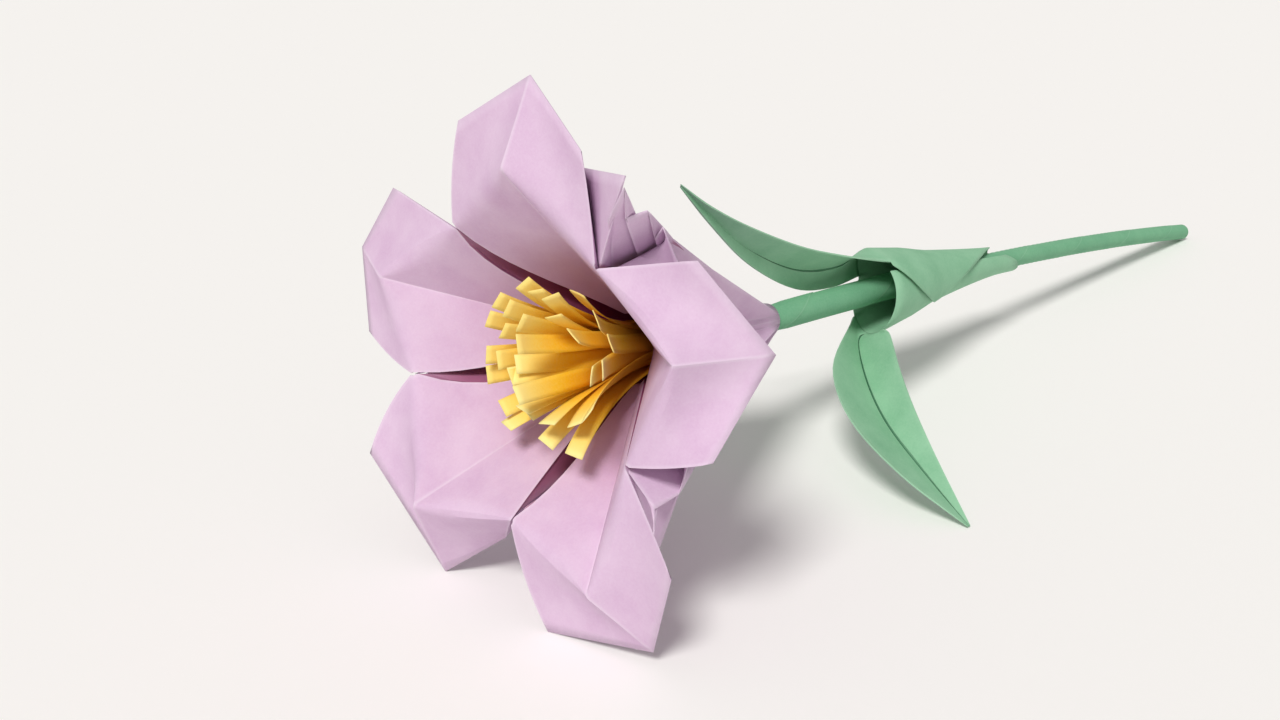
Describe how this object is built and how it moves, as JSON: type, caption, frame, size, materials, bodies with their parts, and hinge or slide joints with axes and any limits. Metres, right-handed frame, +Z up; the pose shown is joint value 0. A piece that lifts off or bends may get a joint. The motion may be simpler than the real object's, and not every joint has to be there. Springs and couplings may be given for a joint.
{
  "type": "origami flower",
  "caption": "Folded paper lily lying on its side: lilac five-petalled head, yellow cut-paper stamens, rolled green stem and a pair of green wrapped leaves",
  "frame": {"origin": "middle of the overall box in X and Y, on the table plane the flower lies on", "axes": "+X along the flower as it lies, towards the stem's free end, with the open mouth towards -X; +Y sideways on the table, square to the stem; +Z up from the table"},
  "size_m": [0.3124, 0.1054, 0.1008],
  "materials": {
    "petal_paper": "matt lilac craft paper, lightly marked by handling",
    "stamen_paper": "matt yellow craft paper, cut edges",
    "stem_paper": "matt green craft paper, rolled and glued",
    "leaf_paper": "matt green craft paper, creased"
  },
  "bodies": {
    "root": {"flower_head": "petal_paper", "stamen_fringe": "stamen_paper", "stem": "stem_paper", "leaf_pair": "leaf_paper"}
  },
  "joints": []
}
